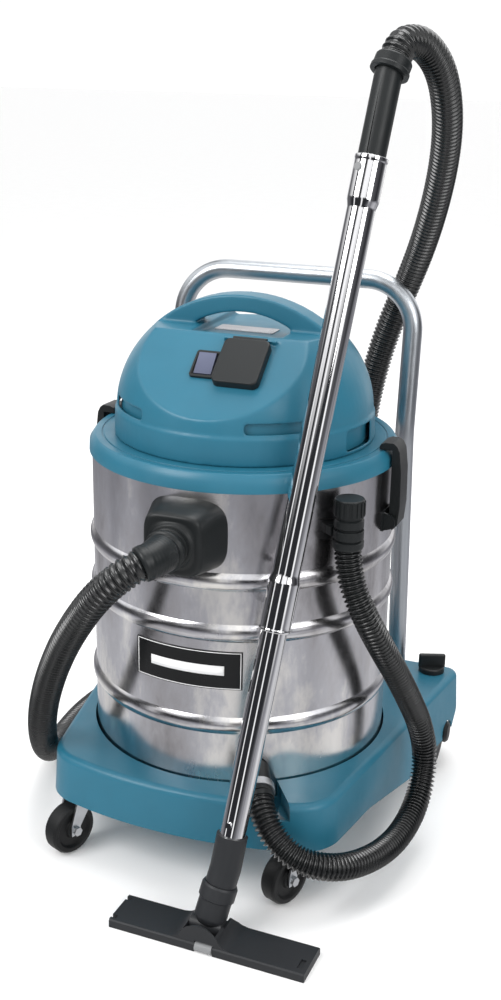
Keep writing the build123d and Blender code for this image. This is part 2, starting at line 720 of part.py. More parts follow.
pleats = []
for step in range(72):
    reach = 104 if step % 2 == 0 else 92
    pleats.append((reach * cos(radians(step * 5)), reach * sin(radians(step * 5))))
with BuildPart() as filter_element:
    with BuildSketch(Plane.XY.offset(470)):
        with BuildLine():
            Polyline(*pleats, close=True)
        make_face()
        Circle(86, mode=Mode.SUBTRACT)
    extrude(amount=118)
    with BuildSketch(Plane.XY.offset(588)):
        Circle(107)
        Circle(84, mode=Mode.SUBTRACT)
    extrude(amount=6)
keep("filter_element", filter_element.part)

with BuildPart() as float_ball:
    with Locations((0, 0, 499)):
        Sphere(30.6)
keep("float_ball", float_ball.part)

# ---- wand ----
lower_tube_profile = [(16.3, -30), (17.5, -30), (17.5, 346), (16.3, 346)]
upper_tube_profile = [(17.55, 282), (21.8, 282), (21.8, 286), (21, 287), (21, 348), (18.5, 358), (18.5, 830),
                      (21, 840), (21, 889), (21.8, 890), (21.8, 895), (18.05, 895), (18.05, 846),
                      (17.2, 842), (17.2, 350), (17.55, 348)]


def button_dir(x, y):
    """Sideways direction square to the wand."""
    flat = Vector(x, y, 0)
    return (flat - wand_dir * flat.dot(wand_dir)).normalized()


grip_button_at = wand_foot + wand_dir * 878
grip_button_dir = button_dir(-0.43, -0.9)
spring_button_at = wand_foot + wand_dir * 20
spring_button_dir = button_dir(-0.11, -1.0)

with BuildPart() as lower_tube:
    add(turned(lower_tube_profile, wand_foot, wand_dir, wand_side))
    add(rod(spring_button_at, spring_button_at + spring_button_dir * 40, 4.3), mode=Mode.SUBTRACT)
keep("lower_tube", lower_tube.part)

with BuildPart() as upper_tube:
    add(turned(upper_tube_profile, wand_foot, wand_dir, wand_side))
    add(rod(grip_button_at, grip_button_at + grip_button_dir * 40, 5.4), mode=Mode.SUBTRACT)
keep("upper_tube", upper_tube.part)

grip_bend = wand_foot + wand_dir * 998
hose_end = Vector(*suction_route[-1])
cuff_dir = (hose_end - grip_bend).normalized()
grip_route = [wand_foot + wand_dir * 850, grip_bend, grip_bend + cuff_dir * 15]
with BuildPart() as grip_tube:
    with BuildLine() as grip_line:
        FilletPolyline(*grip_route, radius=50)
    with BuildSketch(Plane(origin=grip_route[0], x_dir=wand_side, z_dir=wand_dir)):
        Circle(18)
        Circle(15.4, mode=Mode.SUBTRACT)
    sweep(path=grip_line.wire())
    add(rod(grip_button_at, grip_button_at + grip_button_dir * 40, 5.4), mode=Mode.SUBTRACT)
keep("grip_tube", grip_tube.part)

collar_side = cuff_dir.cross(Vector(0, 1, 0)).normalized()
collar_profile = [(19, 0.5), (25.6, 0.5), (25.6, 6), (24.2, 7.5), (24.2, 18.5), (22.5, 21.1), (19, 21.1)]
keep("swivel_cuff", turned(collar_profile, grip_bend, cuff_dir, collar_side))

keep("grip_button", rod(grip_button_at + grip_button_dir * 12, grip_button_at + grip_button_dir * 23.4, 5))
keep("spring_button", rod(spring_button_at + spring_button_dir * 11, spring_button_at + spring_button_dir * 20.6, 4))

# ---- floor tool ----
with BuildPart() as tool_sleeve:
    with BuildLine() as sleeve_line:
        FilletPolyline(wand_foot + wand_dir * 3, tool_bend, tool_bend - neck_dir * 22, radius=55)
    with BuildSketch(Plane(origin=wand_foot + wand_dir * 3, z_dir=-wand_dir)):
        Circle(21)
    sweep(path=sleeve_line.wire())
    add(rod(wand_foot - wand_dir * 30, wand_foot + wand_dir * 30, 17.5), mode=Mode.SUBTRACT)
keep("tool_sleeve", tool_sleeve.part)

neck_side = neck_dir.cross(Vector(0, 1, 0)).normalized()
reach = (tool_bend - tool_pivot).length
head_x_dir = Vector(cos(radians(tool_turn)), sin(radians(tool_turn)), 0)
neck_profile = [(0, 2), (10, 2), (16, 5), (19.5, 9), (22.3, 15), (22.3, reach - 44), (24.5, reach - 42), (24.5, reach - 26),
                (22.5, reach - 22.4), (0, reach - 22.4)]
with BuildPart() as tool_neck:
    add(turned(neck_profile, tool_pivot, neck_dir, neck_side))
    add(rod(tool_pivot - head_x_dir * 22.5, tool_pivot + head_x_dir * 22.5, 12))
    add(rod(tool_pivot - head_x_dir * 25, tool_pivot + head_x_dir * 25, 3))
keep("tool_neck", tool_neck.part)

head_plane = Plane(origin=(97, -355, 0), x_dir=head_x_dir, z_dir=(0, 0, 1))
pivot_x = (tool_pivot - head_plane.origin).dot(head_x_dir)
pivot_y = (tool_pivot - head_plane.origin).dot(head_plane.y_dir)
hump_front = Plane(origin=head_plane.origin + head_x_dir * pivot_x + head_plane.y_dir * -29.5,
                   x_dir=head_x_dir, z_dir=-head_plane.y_dir)
head_side = Plane(origin=head_plane.origin, x_dir=head_plane.y_dir, z_dir=head_x_dir)
with BuildPart() as tool_head:
    with BuildSketch(head_side.offset(-140)):
        with BuildLine():
            Polyline((-31, 0), (31, 0), (31, 9), (28, 12.5), (-29.5, 12.5), (-31, 10.5), close=True)
        make_face()
    extrude(amount=280)
    with BuildSketch(hump_front):
        with BuildLine():
            Line((-48, 12), (48, 12))
            Line((48, 12), (40, 13.5))
            ThreePointArc((40, 13.5), (31, 18), (26, 26))
            ThreePointArc((26, 26), (0, 39), (-26, 26))
            ThreePointArc((-26, 26), (-31, 18), (-40, 13.5))
            Line((-40, 13.5), (-48, 12))
        make_face()
    extrude(amount=-58)
    with BuildSketch(head_plane.offset(60)):
        with Locations((pivot_x, pivot_y + 10)):
            Rectangle(45.8, 76)
    extrude(amount=-46, mode=Mode.SUBTRACT)
    with BuildSketch(head_side.offset(-60)):
        with BuildLine():
            Polyline((6, 45), (31, 13.5), (36, 13.5), (36, 45), close=True)
        make_face()
    extrude(amount=120, mode=Mode.SUBTRACT)
    with BuildSketch(hump_front):
        with BuildLine():
            ThreePointArc((-26, 12), (0, 39), (26, 12))
            Line((26, 12), (-26, 12))
        make_face()
    extrude(amount=-2.6)
    with BuildSketch(head_plane.offset(60)):
        with Locations((pivot_x + 24.6, pivot_y + 18)):
            Rectangle(4, 44)
    extrude(amount=-33.9, mode=Mode.SUBTRACT)
    add(rod(tool_pivot - head_x_dir * 22.9, tool_pivot + head_x_dir * 22.9, 12.4), mode=Mode.SUBTRACT)
    add(rod(tool_pivot - head_x_dir * 25.5, tool_pivot + head_x_dir * 25.5, 3.06), mode=Mode.SUBTRACT)
    with BuildSketch(head_plane):
        with Locations((-137, -22), (-137, 20)):
            Rectangle(10, 6)
    extrude(amount=40, mode=Mode.SUBTRACT)
    with BuildSketch(head_plane.offset(10)):
        with Locations((130, -12)):
            Rectangle(7, 18)
    extrude(amount=20, mode=Mode.SUBTRACT)
    with BuildSketch(head_plane):
        with Locations((-1, -27)):
            Rectangle(26, 16)
    extrude(amount=16, mode=Mode.SUBTRACT)
    with BuildSketch(head_plane):
        with Locations((0, -14), (0, 22)):
            Rectangle(250, 3)
    extrude(amount=6, mode=Mode.SUBTRACT)
    roller_at = head_plane.origin + head_x_dir * -1 + head_plane.y_dir * -27 + Vector(0, 0, 7.2)
    add(rod(roller_at - head_x_dir * 17, roller_at + head_x_dir * 17, 2.05), mode=Mode.SUBTRACT)
keep("tool_head", tool_head.part)

with BuildPart() as tool_roller:
    add(rod(roller_at - head_x_dir * 12, roller_at + head_x_dir * 12, 6.6))
    add(rod(roller_at - head_x_dir * 16, roller_at + head_x_dir * 16, 2))
keep("tool_roller", tool_roller.part)


def squeegee(y, tag):
    with BuildPart() as strip:
        with BuildSketch(head_plane):
            with Locations((0, y)):
                Rectangle(250, 3)
        extrude(amount=6)
    keep("squeegee_" + tag, strip.part)


squeegee(-14, "front")
squeegee(22, "rear")

for name, solid in parts.items():
    export_step(solid, "parts/" + name + ".step")
print(len(parts), "sub-parts written")
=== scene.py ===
"""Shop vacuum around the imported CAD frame: steel drum, powered head, hoses, wand and floor tool."""

import json
import math

import bpy
from mathutils import Matrix, Vector


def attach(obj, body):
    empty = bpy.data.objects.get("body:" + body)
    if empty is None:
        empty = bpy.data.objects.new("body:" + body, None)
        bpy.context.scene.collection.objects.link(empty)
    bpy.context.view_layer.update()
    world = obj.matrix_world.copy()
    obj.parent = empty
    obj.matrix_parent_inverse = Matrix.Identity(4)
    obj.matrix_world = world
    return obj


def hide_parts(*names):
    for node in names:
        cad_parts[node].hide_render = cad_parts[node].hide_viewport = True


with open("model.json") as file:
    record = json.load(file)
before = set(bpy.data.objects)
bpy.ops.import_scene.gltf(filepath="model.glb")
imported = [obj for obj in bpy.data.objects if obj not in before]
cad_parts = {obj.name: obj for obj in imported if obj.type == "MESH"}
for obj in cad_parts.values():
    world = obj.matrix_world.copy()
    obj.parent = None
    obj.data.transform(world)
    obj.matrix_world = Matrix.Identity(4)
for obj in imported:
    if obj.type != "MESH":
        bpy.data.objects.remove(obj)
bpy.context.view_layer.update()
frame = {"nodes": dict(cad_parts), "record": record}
nodes = frame["nodes"]
MM = 0.001


# ---------------------------------------------------------------- camera
CAMERA_ANGLES = (18.78, 0.32, 1.12)  # pitch down, yaw and roll, in degrees
CAMERA_AROUND = 20.0  # degrees round the drum's axis from straight ahead
CAMERA_PLACE = (0, -1.81583, 1.11258)  # metres, before the turn round the axis
LENS, SENSOR_WIDTH = 46.8, 36


def turn_z(v, angle):
    """Vector turned about the drum's axis."""
    c, s = math.cos(angle), math.sin(angle)
    return Vector((c * v[0] - s * v[1], s * v[0] + c * v[1], v[2]))


def make_camera():
    """Camera in front of the vacuum, a little above its lid and looking down."""
    pitch, yaw, roll, around = (math.radians(a) for a in (*CAMERA_ANGLES, CAMERA_AROUND))
    flat = math.cos(pitch)
    forward = Vector((math.sin(yaw) * flat, math.cos(yaw) * flat, -math.sin(pitch)))
    right = Vector((math.cos(yaw), -math.sin(yaw), 0))
    up = right.cross(forward)
    right, up = (
        right * math.cos(roll) + up * math.sin(roll),
        up * math.cos(roll) - right * math.sin(roll),
    )
    place = turn_z(CAMERA_PLACE, around)
    forward, right, up = (turn_z(v, around) for v in (forward, right, up))
    data = bpy.data.cameras.new("camera")
    data.lens = LENS
    data.sensor_width = SENSOR_WIDTH
    camera = bpy.data.objects.new("camera", data)
    bpy.context.scene.collection.objects.link(camera)
    turn = Matrix((right, up, -forward)).transposed()
    camera.matrix_world = Matrix.Translation(place) @ turn.to_4x4()
    bpy.context.scene.camera = camera


make_camera()


# ---------------------------------------------------------------- materials
def node_tree(name):
    """New material with its tree and its one surface shader."""
    material = bpy.data.materials.new(name)
    material.use_nodes = True
    tree = material.node_tree
    tree.nodes.clear()
    out = tree.nodes.new("ShaderNodeOutputMaterial")
    shader = tree.nodes.new("ShaderNodeBsdfPrincipled")
    tree.links.new(shader.outputs[0], out.inputs[0])
    return material, tree, shader


def noise(tree, scale, detail=4.0, stretch=(1, 1, 1), rough=0.55):
    """Noise in the object's own space, as a value from 0 to 1."""
    place = tree.nodes.new("ShaderNodeTexCoord")
    sizes = tree.nodes.new("ShaderNodeMapping")
    sizes.inputs["Scale"].default_value = stretch
    tree.links.new(place.outputs["Object"], sizes.inputs["Vector"])
    texture = tree.nodes.new("ShaderNodeTexNoise")
    texture.inputs["Scale"].default_value = scale
    texture.inputs["Detail"].default_value = detail
    texture.inputs["Roughness"].default_value = rough
    tree.links.new(sizes.outputs[0], texture.inputs["Vector"])
    return texture.outputs["Fac"]


def ramp(tree, value, stops):
    """Colour ramp of (position, colour) stops over a value."""
    node = tree.nodes.new("ShaderNodeValToRGB")
    points = node.color_ramp.elements
    while len(points) < len(stops):
        points.new(0.5)
    for point, (at, color) in zip(points, stops):
        point.position = at
        point.color = (*color, 1)
    tree.links.new(value, node.inputs[0])
    return node.outputs[0]


def remap(tree, value, low, high, start=0.3, end=0.7):
    """Value between start and end carried over to low and high."""
    node = tree.nodes.new("ShaderNodeMapRange")
    limits = {"From Min": start, "From Max": end, "To Min": low, "To Max": high}
    for socket, number in limits.items():
        node.inputs[socket].default_value = number
    tree.links.new(value, node.inputs["Value"])
    return node.outputs[0]


def mixed(tree, first, second, amount, blend="MIX"):
    """Two colours mixed by a fixed amount or by a value."""
    node = tree.nodes.new("ShaderNodeMix")
    node.data_type = "RGBA"
    node.blend_type = blend
    if isinstance(amount, float):
        node.inputs[0].default_value = amount
    else:
        tree.links.new(amount, node.inputs[0])
    tree.links.new(first, node.inputs[6])
    tree.links.new(second, node.inputs[7])
    return node.outputs[2]


def bump(tree, shader, heights):
    """Chain of (value, strength, distance) bumps into the shader's normal."""
    last = None
    for value, strength, distance in heights:
        node = tree.nodes.new("ShaderNodeBump")
        node.inputs["Strength"].default_value = strength
        node.inputs["Distance"].default_value = distance
        tree.links.new(value, node.inputs["Height"])
        if last:
            tree.links.new(last, node.inputs["Normal"])
        last = node.outputs[0]
    tree.links.new(last, shader.inputs["Normal"])


def shade(color, factor):
    """Colour made darker or lighter, held to 1."""
    return tuple(min(1.0, c * factor) for c in color)


def plastic(name, color, rough, grain=900, grain_depth=0.00012, spread=0.08, coat=0.0, shine=0.36):
    """Moulded plastic, rubber or print: uneven tint, hand smudges, fine grain and slight waviness."""
    material, tree, shader = node_tree(name)
    broad = noise(tree, 9, 3)
    tint = ramp(tree, broad, [(0.3, shade(color, 1 - spread)), (0.7, shade(color, 1 + spread))])
    tree.links.new(tint, shader.inputs["Base Color"])
    smudge = noise(tree, 24, 5)
    tree.links.new(remap(tree, smudge, rough - 0.05, rough + 0.06), shader.inputs["Roughness"])
    shader.inputs["Coat Weight"].default_value = coat
    shader.inputs["Coat Roughness"].default_value = 0.25
    shader.inputs["Specular IOR Level"].default_value = shine
    grains, waves = noise(tree, grain, 2), noise(tree, 16, 2)
    bump(tree, shader, [(grains, 0.35, grain_depth), (waves, 0.12, 0.0009)])
    return material


def metal(name, color, low, high, stretch=(1, 1, 1), scale=60, lines=0.0, cloud=0.12, wave=0.0):
    """Metal with its roughness running from low to high; lines and wave are bump strengths."""
    material, tree, shader = node_tree(name)
    shader.inputs["Metallic"].default_value = 1.0
    cloudy = noise(tree, 7, 6)
    darker, lighter = shade(color, 1 - cloud), shade(color, 1 + cloud * 0.5)
    tint = ramp(tree, cloudy, [(0.32, darker), (0.68, lighter)])
    tree.links.new(tint, shader.inputs["Base Color"])
    fine = noise(tree, scale, 5, stretch)
    tree.links.new(remap(tree, fine, low, high), shader.inputs["Roughness"])
    heights = [(noise(tree, 380, 2, stretch), 0.10 + lines, 0.00003)]
    if wave:
        heights.append((noise(tree, 5, 2), wave, 0.004))
    bump(tree, shader, heights)
    return material


def steel_drum():
    """Polished stainless sheet: cloudy marks, faint rolling lines round the drum, slight waves."""
    material, tree, shader = node_tree("steel_drum")
    shader.inputs["Metallic"].default_value = 1.0
    cloud = noise(tree, 6.5, 6, (1, 1, 0.45), 0.62)
    tint = ramp(tree, cloud, [
        (0.34, (0.36, 0.345, 0.35)), (0.44, (0.58, 0.57, 0.585)),
        (0.53, (0.66, 0.66, 0.69)), (0.60, (0.92, 0.90, 0.87)),
    ])
    tree.links.new(tint, shader.inputs["Base Color"])
    smear = noise(tree, 14, 7, (1, 1, 0.35), 0.7)
    tree.links.new(remap(tree, smear, 0.13, 0.30), shader.inputs["Roughness"])
    shader.inputs["Anisotropic"].default_value = 0.35
    lines = noise(tree, 140, 3, (0.02, 0.02, 1))
    waves = noise(tree, 9, 2, (1, 1, 0.6))
    bump(tree, shader, [(lines, 0.08, 0.00004), (waves, 0.16, 0.004)])
    return material


def cloth():
    """Pleated filter's cloth: off-white and woven."""
    material, tree, shader = node_tree("filter_cloth")
    tint = ramp(tree, noise(tree, 40, 5), [(0.3, (0.62, 0.60, 0.54)), (0.7, (0.80, 0.78, 0.73))])
    tree.links.new(tint, shader.inputs["Base Color"])
    shader.inputs["Roughness"].default_value = 0.9
    bump(tree, shader, [(noise(tree, 1500, 2), 0.5, 0.0002)])
    return material


TEAL = (0.016, 0.128, 0.196)
LOOKS = {
    "teal_plastic": plastic(
        "teal_plastic", TEAL, 0.40, grain=700, grain_depth=0.00010, spread=0.06, coat=0.15
    ),
    "black_plastic": plastic("black_plastic", (0.0085, 0.0105, 0.0112), 0.40, spread=0.1),
    "tool_plastic": plastic(
        "tool_plastic", (0.019, 0.0205, 0.023), 0.44, grain=800, grain_depth=0.00014
    ),
    "hose_plastic": plastic(
        "hose_plastic", (0.0042, 0.0052, 0.0055), 0.26,
        grain=1100, grain_depth=0.00004, spread=0.1, coat=0.3, shine=0.6,
    ),
    "polished_steel": steel_drum(),
    "chrome_tube": metal(
        "chrome_tube", (0.86, 0.86, 0.87), 0.03, 0.10,
        stretch=(1, 1, 0.1), scale=30, cloud=0.05, wave=0.03,
    ),
    "handle_tube": metal(
        "handle_tube", (0.56, 0.59, 0.62), 0.28, 0.38, stretch=(1, 1, 0.2), lines=0.05, cloud=0.06
    ),
    "zinc": metal("zinc", (0.66, 0.68, 0.70), 0.26, 0.45, scale=90, lines=0.05, cloud=0.14),
    "wheel_rubber": plastic(
        "wheel_rubber", (0.0062, 0.0070, 0.0075), 0.52, grain=500, grain_depth=0.0002, spread=0.2
    ),
    "switch_cover": plastic(
        "switch_cover", (0.085, 0.095, 0.15), 0.16,
        grain=300, grain_depth=0.00003, spread=0.25, coat=0.8,
    ),
    "grey_button": plastic("grey_button", (0.22, 0.225, 0.23), 0.42),
    "plate_grey": metal(
        "plate_grey", (0.50, 0.49, 0.50), 0.24, 0.42,
        stretch=(0.1, 1, 1), scale=120, lines=0.06, cloud=0.2,
    ),
    "badge_face": plastic(
        "badge_face", (0.006, 0.0065, 0.007), 0.30, grain=600, grain_depth=0.00004
    ),
    "seal_rubber": plastic(
        "seal_rubber", (0.010, 0.011, 0.012), 0.62, grain=500, grain_depth=0.0002
    ),
    "filter_cloth": cloth(),
    "motor_metal": metal("motor_metal", (0.5, 0.51, 0.52), 0.35, 0.55, scale=90, lines=0.1),
}
white_print = plastic(
    "white_print", (0.86, 0.86, 0.86), 0.36, grain=600, grain_depth=0.00003, spread=0.03
)

for part in frame["record"]["subparts"]:
    shown = nodes[part["node"]]
    shown.data.materials.clear()
    shown.data.materials.append(LOOKS[part["material_slot"]])


# ---------------------------------------------------------------- mesh helpers
def add_piece(name, mesh, slot, body, material=None, replaces=()):
    """Links a mesh as a piece of the object, riding on a body."""
    piece = bpy.data.objects.new(name, mesh)
    bpy.context.scene.collection.objects.link(piece)
    mesh.materials.append(material or LOOKS[slot])
    if replaces:
        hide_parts(*replaces)
    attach(piece, body)
    return piece


def mesh_from(name, points, faces):
    """Smooth-shaded mesh from points and faces."""
    mesh = bpy.data.meshes.new(name)
    mesh.from_pydata([tuple(p) for p in points], [], faces)
    mesh.polygons.foreach_set("use_smooth", [True] * len(mesh.polygons))
    mesh.update()
    return mesh


# ---------------------------------------------------------------- hoses
HOSE_SIDES = 28
STEPS_PER_RIDGE = 8
WIDE_START = 160  # mm of hose from its start over which wider ridges fade out


def centreline(name, route):
    """Smooth line through a hose's route points: the NURBS spline's own points, in metres."""
    data = bpy.data.curves.new(name, "CURVE")
    data.dimensions = "3D"
    data.resolution_u = 24
    spline = data.splines.new("NURBS")
    spline.points.add(len(route) - 1)
    for point, place in zip(spline.points, route):
        point.co = (*(MM * c for c in place), 1)
    spline.order_u = 3
    spline.use_endpoint_u = True
    holder = bpy.data.objects.new(name, data)
    bpy.context.scene.collection.objects.link(holder)
    mesh = bpy.data.meshes.new_from_object(holder)
    line = [v.co.copy() for v in mesh.vertices]
    bpy.data.objects.remove(holder)
    return line


def spaced(line, step):
    """Evenly spaced points along a line."""
    marks = [line[0].copy()]
    left = step
    for a, b in zip(line, line[1:]):
        run = (b - a).length
        if run < 1e-9:
            continue
        at = left
        while at <= run:
            marks.append(a + (b - a) * (at / run))
            at += step
        left = at - run
    marks.append(line[-1].copy())
    return marks


def corrugated(name, route, body, node, radius, pitch, depth, sharp, wide=0.0):
    """Corrugated hose along a route in mm: a ridge every pitch, wider ones near its start.

    depth is the groove's, sharp narrows the ridges, wide is the extra pitch at the very start.
    """
    line = centreline(name + "_line", route)
    steps = spaced(line, pitch * MM / STEPS_PER_RIDGE)
    sides = HOSE_SIDES
    normal = (steps[1] - steps[0]).normalized().orthogonal().normalized()
    points, faces = [], []
    phase = 0.0
    for i, place in enumerate(steps):
        ahead = (steps[min(i + 1, len(steps) - 1)] - steps[max(i - 1, 0)]).normalized()
        normal = (normal - ahead * normal.dot(ahead)).normalized()
        side = ahead.cross(normal)
        travelled = i * pitch / STEPS_PER_RIDGE
        stretch = 1 + wide * max(0.0, 1 - travelled / WIDE_START)
        phase += 1 / STEPS_PER_RIDGE / stretch
        ridge = 0.5 + 0.5 * math.cos(2 * math.pi * phase)
        r = MM * (radius - depth * (1 - ridge**sharp))
        for k in range(sides):
            a = 2 * math.pi * k / sides
            points.append(place + normal * (r * math.cos(a)) + side * (r * math.sin(a)))
        if i:
            low = (i - 1) * sides
            for k in range(sides):
                m = (k + 1) % sides
                faces.append((low + k, low + m, low + sides + m, low + sides + k))
    faces.append(tuple(reversed(range(sides))))
    last = (len(steps) - 1) * sides
    faces.append(tuple(last + k for k in range(sides)))
    piece = add_piece(name, mesh_from(name, points, faces), "hose_plastic", body, replaces=[node])
    spaced(line, 0.01)
    return line


# from the drum's inlet, down and round behind the base, up behind the drum and over to the wand
SUCTION_ROUTE = [
    (0, -288, 517), (0, -318, 517), (-20, -346, 511), (-62, -356, 474), (-112, -338, 406),
    (-158, -302, 332), (-202, -254, 250), (-242, -194, 164), (-280, -114, 80), (-318, -16, 27),
    (-337, 130, 22), (-310, 262, 22), (-222, 370, 22), (-96, 418, 26), (18, 392, 76),
    (74, 346, 176), (94, 312, 300), (98, 288, 430), (102, 276, 540), (116, 274, 630),
    (135, 277, 708), (163, 274, 782), (191, 248, 850), (219, 196, 926), (239, 142, 996),
    (248, 92, 1054), (245, 48, 1104), (229.5, 8, 1134), (215, -21, 1136), (208, -35, 1127.9),
    (205, -41.5, 1115.8),
]
# from the bend at the drum's foot, round under the base's side and up to the clip under the lid
DRAIN_ROUTE = [
    (121, -246, 156), (131, -262, 146), (152, -278, 124), (192, -284, 99), (238, -258, 84),
    (270, -190, 66), (288, -110, 56), (296, -34, 72), (296, 6, 128), (286, -10, 190),
    (276, -45, 242), (265, -88, 300), (250, -128, 356), (230, -154, 412), (206, -148, 458),
    (201, -145, 498.5),
]
suction_line = corrugated(
    "suction_hose_tube", SUCTION_ROUTE, "trolley", "suction_hose",
    radius=21.2, pitch=6.6, depth=3.0, sharp=1.2, wide=0.5,
)
corrugated(
    "drain_hose_tube", DRAIN_ROUTE, "trolley", "drain_hose",
    radius=18.8, pitch=6.2, depth=4.2, sharp=1.3,
)


# ---------------------------------------------------------------- lofted and turned pieces
def soften(piece):
    """Small rounded edges and flat-looking faces on a modelled piece."""
    weld = piece.modifiers.new("weld", "WELD")
    weld.merge_threshold = 0.00002
    bevel = piece.modifiers.new("bevel", "BEVEL")
    bevel.width = 0.0006
    bevel.segments = 2
    bevel.limit_method = "ANGLE"
    bevel.angle_limit = math.radians(32)
    normals = piece.modifiers.new("normals", "WEIGHTED_NORMAL")
    normals.keep_sharp = False


def skin(name, rings, cap=True):
    """Closed skin through equal rings of points."""
    count = len(rings[0])
    points = [p for ring in rings for p in ring]
    faces = []
    for i in range(len(rings) - 1):
        for k in range(count):
            m = (k + 1) % count
            a, b = i * count, (i + 1) * count
            faces.append((a + k, a + m, b + m, b + k))
    if cap:
        faces.append(tuple(reversed(range(count))))
        faces.append(tuple((len(rings) - 1) * count + k for k in range(count)))
    return mesh_from(name, points, faces)


def turned(name, profile, start, direction, slot, body, replaces=()):
    """Profile of (radius, height) points in mm turned about an axis; it closes on itself."""
    steps = 96
    ahead = Vector(direction).normalized()
    across = ahead.orthogonal().normalized()
    side = ahead.cross(across)
    start = Vector(start) * MM
    rings = []
    for k in range(steps):
        a = 2 * math.pi * k / steps
        out = across * math.cos(a) + side * math.sin(a)
        rings.append([start + out * (r * MM) + ahead * (h * MM) for r, h in profile])
    rings.append(rings[0])
    soften(add_piece(name, skin(name, rings, False), slot, body, replaces=replaces))


def sleeve(name, line, profile, slot, body, ripple):
    """Sleeve round a hose: (distance, radius) points in mm along its centre line, rippled."""
    sides, ripple_pitch = 48, 4
    steps = spaced(line, MM)
    normal = (steps[1] - steps[0]).normalized().orthogonal().normalized()
    rings = []
    for i in range(int(profile[-1][0]) + 1):
        ahead = (steps[i + 1] - steps[max(i - 1, 0)]).normalized()
        normal = (normal - ahead * normal.dot(ahead)).normalized()
        side = ahead.cross(normal)
        for (s0, r0), (s1, r1) in zip(profile, profile[1:]):
            if s0 <= i <= s1:
                r = r0 + (r1 - r0) * (i - s0) / max(s1 - s0, 1e-6)
        r = (r + ripple * math.cos(2 * math.pi * i / ripple_pitch)) * MM
        turns = (2 * math.pi * k / sides for k in range(sides))
        rings.append([steps[i] + normal * (r * math.cos(a)) + side * (r * math.sin(a)) for a in turns])
    add_piece(name, skin(name, rings), slot, body)


CUFF_PROFILE = [
    (0, 27.4), (2, 28.6), (6, 28.6), (8, 25.0), (12, 25.6),
    (36, 23.4), (41, 23.2), (43, 23.8), (50, 23.6), (52, 20.5),
]
sleeve("suction_cuff_sleeve", suction_line, CUFF_PROFILE, "black_plastic", "trolley", ripple=0.12)

# the inlet moulding, in mm: the drum's radius, how far its collar's seat reaches, its height
DRUM_RADIUS = 219.3
INLET_SEAT = -269
INLET_HEIGHT = 517
# share of the way from the drum to the seat, half width, half height and squareness of each ring
INLET_RINGS = (
    (0.00, 57, 50.5, 3.4), (0.05, 56, 50, 3.4), (0.30, 51, 47.8, 3.7), (0.60, 45.5, 45, 4.2),
    (0.86, 41.5, 42.5, 4.6), (0.95, 40, 41.2, 4.6), (0.99, 38, 39.3, 4.6), (1.00, 35.5, 37, 4.4),
    (1.00, 33, 34, 3.2), (1.00, 31.5, 31.5, 2), (1.07, 30.6, 30.6, 2), (1.10, 29, 29, 2),
    (1.10, 22, 22, 2),
)


def inlet_housing():
    """Inlet moulding: a rounded square that flares from its face back onto the drum."""
    sides = 96
    rings = []
    for deep, wide, tall, square in INLET_RINGS:
        ring = []
        for k in range(sides):
            a = 2 * math.pi * k / sides
            c, n = math.cos(a), math.sin(a)
            x = wide * math.copysign(abs(c) ** (2 / square), c)
            z = tall * math.copysign(abs(n) ** (2 / square), n)
            back = -math.sqrt(DRUM_RADIUS**2 - x * x) + 1
            ring.append((x * MM, (back + (INLET_SEAT - back) * deep) * MM, (INLET_HEIGHT + z) * MM))
        rings.append(ring)
    mesh = skin("inlet_moulding", rings)
    add_piece("inlet_moulding", mesh, "black_plastic", "trolley", replaces=["inlet_housing"])


inlet_housing()


BADGE_RADIUS, PRINT_THICK = 221.3, 0.3


def badge_print(name, low_angle, high_angle, low, high):
    """Thin curved white print on the drum's badge, in degrees round it and mm up it."""
    spans = 24
    inner, outer = BADGE_RADIUS, BADGE_RADIUS + PRINT_THICK
    rings = []
    for k in range(spans + 1):
        a = math.radians(low_angle + (high_angle - low_angle) * k / spans)
        rings.append([
            (r * MM * math.sin(a), -r * MM * math.cos(a), z * MM)
            for r, z in ((inner, low), (outer, low), (outer, high), (inner, high))
        ])
    add_piece(name, skin(name, rings), "badge_face", "trolley", white_print)


badge_print("badge_bar", -14.0, 14.2, 317, 331)
badge_print("badge_edge_top", -20.0, 20.2, 350.0, 351.0)
badge_print("badge_edge_bottom", -20.0, 20.2, 297.0, 298.0)
badge_print("badge_edge_left", -20.0, -19.75, 297.0, 351.0)
badge_print("badge_edge_right", 19.95, 20.2, 297.0, 351.0)

# ring inside the head that closes the view through its cooling slots
BAFFLE_PROFILE = [(178, 606), (178, 640), (174, 664), (172, 664), (176, 640), (176, 606)]
turned("vent_baffle", BAFFLE_PROFILE, (0, 0, 0), (0, 0, 1), "teal_plastic", "trolley")

WAND_FOOT = Vector((108.0, -318.7, 140.0))
WAND_DIR = Vector((0.0926, 0.2677, 0.9591))
LOWER_TUBE = [(16.3, -29), (17.5, -30), (17.5, 346), (16.3, 346)]
# two flared sockets, each with a rolled lip, and the plain tube between them
UPPER_TUBE = [
    (17.6, 282), (21.0, 282), (21.7, 282.8), (21.7, 285.4), (21.1, 286.2), (21, 290), (21, 346),
    (20.4, 349), (18.9, 355), (18.5, 359), (18.5, 829), (18.9, 832), (20.5, 838), (21, 842),
    (21, 887), (21.1, 889), (21.7, 890), (21.7, 894), (21.2, 895), (18.1, 895), (18.1, 846),
    (17.2, 842), (17.2, 350), (17.6, 348),
]
turned("wand_lower_tube", LOWER_TUBE, WAND_FOOT, WAND_DIR, "chrome_tube", "trolley", ["lower_tube"])
turned("wand_upper_tube", UPPER_TUBE, WAND_FOOT, WAND_DIR, "chrome_tube", "trolley", ["upper_tube"])

SOFTENED_SLOTS = (
    "teal_plastic", "black_plastic", "tool_plastic", "zinc", "wheel_rubber", "switch_cover",
)
for part in frame["record"]["subparts"]:
    if part["material_slot"] in SOFTENED_SLOTS and part["node"] not in ("dome", "inlet_housing"):
        soften(nodes[part["node"]])


